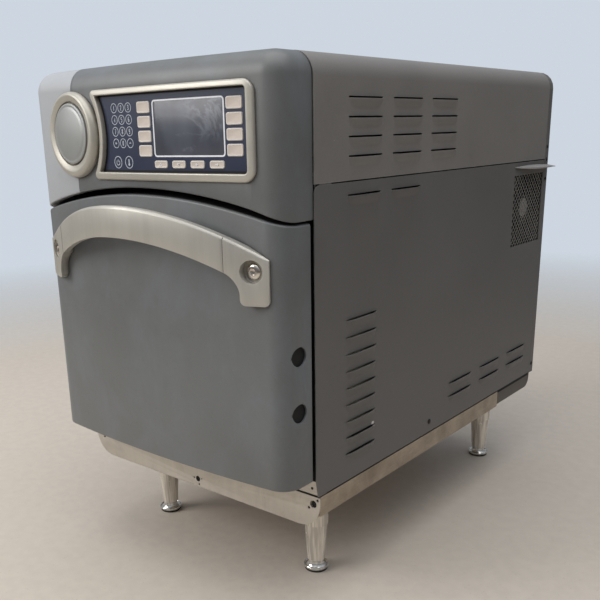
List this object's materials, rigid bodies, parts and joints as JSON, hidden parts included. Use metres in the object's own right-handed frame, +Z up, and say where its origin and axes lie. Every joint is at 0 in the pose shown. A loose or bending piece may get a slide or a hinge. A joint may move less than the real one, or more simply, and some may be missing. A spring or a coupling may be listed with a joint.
{
  "type": "countertop speed oven",
  "caption": "Tall countertop speed oven on four tapered legs, with a bowed pull-down door, arched hood, round badge, keypad and display, louvred side panels and a fan vent.",
  "frame": {"origin": "centre of the bounding box at counter level", "axes": "+Z up, -Y out of the front (door and keypad), +X to the right seen from the front"},
  "size_m": [0.4226, 0.7348, 0.632],
  "materials": {
    "grey_paint": "dark warm grey, fine texture",
    "grey_moulding": "dark blue-grey, satin",
    "silver_moulding": "light silver-grey, satin",
    "champagne": "champagne metallic, satin",
    "stainless": "brushed",
    "chrome": "polished",
    "navy_film": "printed film, satin",
    "cream_key": "satin",
    "display_glass": "clear window over a dark display",
    "circuit_board": "lacquered",
    "black_plastic": "moulded",
    "silicone": "matt",
    "mineral_wool": "fibrous",
    "zinc_steel": "zinc plated"
  },
  "bodies": {
    "oven": {"badge_disc": "silver_moulding", "badge_ring": "champagne", "base_pan": "stainless", "blower_housing": "zinc_steel", "blower_motor": "black_plastic", "chamber_insulation": "mineral_wool", "control_bezel": "champagne", "control_board": "circuit_board", "cook_chamber": "stainless", "cooking_rack": "chrome", "cooling_fan_frame": "black_plastic", "cord_gland": "black_plastic", "display": "display_glass", "end_cap": "silver_moulding", "front_frame": "stainless", "front_hood": "grey_moulding", "front_skirt": "stainless", "heater": "zinc_steel", "hinge_bracket_left": "zinc_steel", "hinge_bracket_right": "zinc_steel", "hv_transformer": "zinc_steel", "keypad_membrane": "navy_film", "leg_front_left": "stainless", "leg_front_right": "stainless", "leg_rear_left": "stainless", "leg_rear_right": "stainless", "lower_jetplate": "stainless", "magnetron": "zinc_steel", "rear_panel": "grey_paint", "side_panel_left": "grey_paint", "side_panel_right": "grey_paint", "top_cover": "grey_paint", "upper_jetplate": "stainless", "vent_mesh": "black_plastic"},
    "door": {"door_skin": "grey_moulding", "door_inner": "stainless", "door_gasket": "silicone", "handle_bar": "champagne", "handle_bracket_left": "champagne", "handle_bracket_right": "champagne", "hinge_arm_left": "zinc_steel", "hinge_arm_right": "zinc_steel"},
    "blower_rotor": {"blower_wheel": "zinc_steel"},
    "fan_rotor": {"cooling_fan_rotor": "black_plastic"},
    "soft_key_left_1": {"soft_key_left_1": "cream_key"},
    "soft_key_left_2": {"soft_key_left_2": "cream_key"},
    "soft_key_left_3": {"soft_key_left_3": "cream_key"},
    "soft_key_left_4": {"soft_key_left_4": "cream_key"},
    "soft_key_right_1": {"soft_key_right_1": "cream_key"},
    "soft_key_right_2": {"soft_key_right_2": "cream_key"},
    "soft_key_right_3": {"soft_key_right_3": "cream_key"},
    "soft_key_right_4": {"soft_key_right_4": "cream_key"},
    "arrow_key_up": {"arrow_key_up": "cream_key"},
    "arrow_key_down": {"arrow_key_down": "cream_key"},
    "arrow_key_back": {"arrow_key_back": "cream_key"},
    "arrow_key_enter": {"arrow_key_enter": "cream_key"},
    "foot_front_left": {"foot_front_left": "chrome"},
    "foot_front_right": {"foot_front_right": "chrome"},
    "foot_rear_left": {"foot_rear_left": "chrome"},
    "foot_rear_right": {"foot_rear_right": "chrome"}
  },
  "joints": [
    {"name": "door_hinge", "type": "hinge", "parent": "oven", "child": "door", "pos_m": [-0.00515, -0.2816, 0.184], "axis": [1, 0, 0], "range_deg": [0, 90], "stiffness_Nm_per_rad": 3, "springref_deg": -20.05},
    {"name": "blower_spin", "type": "hinge", "parent": "oven", "child": "blower_rotor", "pos_m": [-0.00515, 0.0656, 0.3265], "axis": [0, 1, 0], "continuous": true},
    {"name": "fan_spin", "type": "hinge", "parent": "oven", "child": "fan_rotor", "pos_m": [0.16485, 0.2829, 0.429], "axis": [1, 0, 0], "continuous": true},
    {"name": "soft_key_left_1_press", "type": "slide", "parent": "oven", "child": "soft_key_left_1", "axis": [0, 1, 0], "range_m": [0, 0.0008], "stiffness_N_per_m": 600, "springref_m": -0.001},
    {"name": "soft_key_left_2_press", "type": "slide", "parent": "oven", "child": "soft_key_left_2", "axis": [0, 1, 0], "range_m": [0, 0.0008], "stiffness_N_per_m": 600, "springref_m": -0.001},
    {"name": "soft_key_left_3_press", "type": "slide", "parent": "oven", "child": "soft_key_left_3", "axis": [0, 1, 0], "range_m": [0, 0.0008], "stiffness_N_per_m": 600, "springref_m": -0.001},
    {"name": "soft_key_left_4_press", "type": "slide", "parent": "oven", "child": "soft_key_left_4", "axis": [0, 1, 0], "range_m": [0, 0.0008], "stiffness_N_per_m": 600, "springref_m": -0.001},
    {"name": "soft_key_right_1_press", "type": "slide", "parent": "oven", "child": "soft_key_right_1", "axis": [0, 1, 0], "range_m": [0, 0.0008], "stiffness_N_per_m": 600, "springref_m": -0.001},
    {"name": "soft_key_right_2_press", "type": "slide", "parent": "oven", "child": "soft_key_right_2", "axis": [0, 1, 0], "range_m": [0, 0.0008], "stiffness_N_per_m": 600, "springref_m": -0.001},
    {"name": "soft_key_right_3_press", "type": "slide", "parent": "oven", "child": "soft_key_right_3", "axis": [0, 1, 0], "range_m": [0, 0.0008], "stiffness_N_per_m": 600, "springref_m": -0.001},
    {"name": "soft_key_right_4_press", "type": "slide", "parent": "oven", "child": "soft_key_right_4", "axis": [0, 1, 0], "range_m": [0, 0.0008], "stiffness_N_per_m": 600, "springref_m": -0.001},
    {"name": "arrow_key_up_press", "type": "slide", "parent": "oven", "child": "arrow_key_up", "axis": [0, 1, 0], "range_m": [0, 0.0008], "stiffness_N_per_m": 600, "springref_m": -0.001},
    {"name": "arrow_key_down_press", "type": "slide", "parent": "oven", "child": "arrow_key_down", "axis": [0, 1, 0], "range_m": [0, 0.0008], "stiffness_N_per_m": 600, "springref_m": -0.001},
    {"name": "arrow_key_back_press", "type": "slide", "parent": "oven", "child": "arrow_key_back", "axis": [0, 1, 0], "range_m": [0, 0.0008], "stiffness_N_per_m": 600, "springref_m": -0.001},
    {"name": "arrow_key_enter_press", "type": "slide", "parent": "oven", "child": "arrow_key_enter", "axis": [0, 1, 0], "range_m": [0, 0.0008], "stiffness_N_per_m": 600, "springref_m": -0.001},
    {"name": "foot_front_left_thread", "type": "hinge", "parent": "oven", "child": "foot_front_left", "pos_m": [-0.14515, -0.1846, 0.01], "axis": [0, 0, 1], "continuous": true},
    {"name": "foot_front_right_thread", "type": "hinge", "parent": "oven", "child": "foot_front_right", "pos_m": [0.13485, -0.1846, 0.01], "axis": [0, 0, 1], "continuous": true},
    {"name": "foot_rear_left_thread", "type": "hinge", "parent": "oven", "child": "foot_rear_left", "pos_m": [-0.14515, 0.2934, 0.01], "axis": [0, 0, 1], "continuous": true},
    {"name": "foot_rear_right_thread", "type": "hinge", "parent": "oven", "child": "foot_rear_right", "pos_m": [0.13485, 0.2934, 0.01], "axis": [0, 0, 1], "continuous": true}
  ]
}
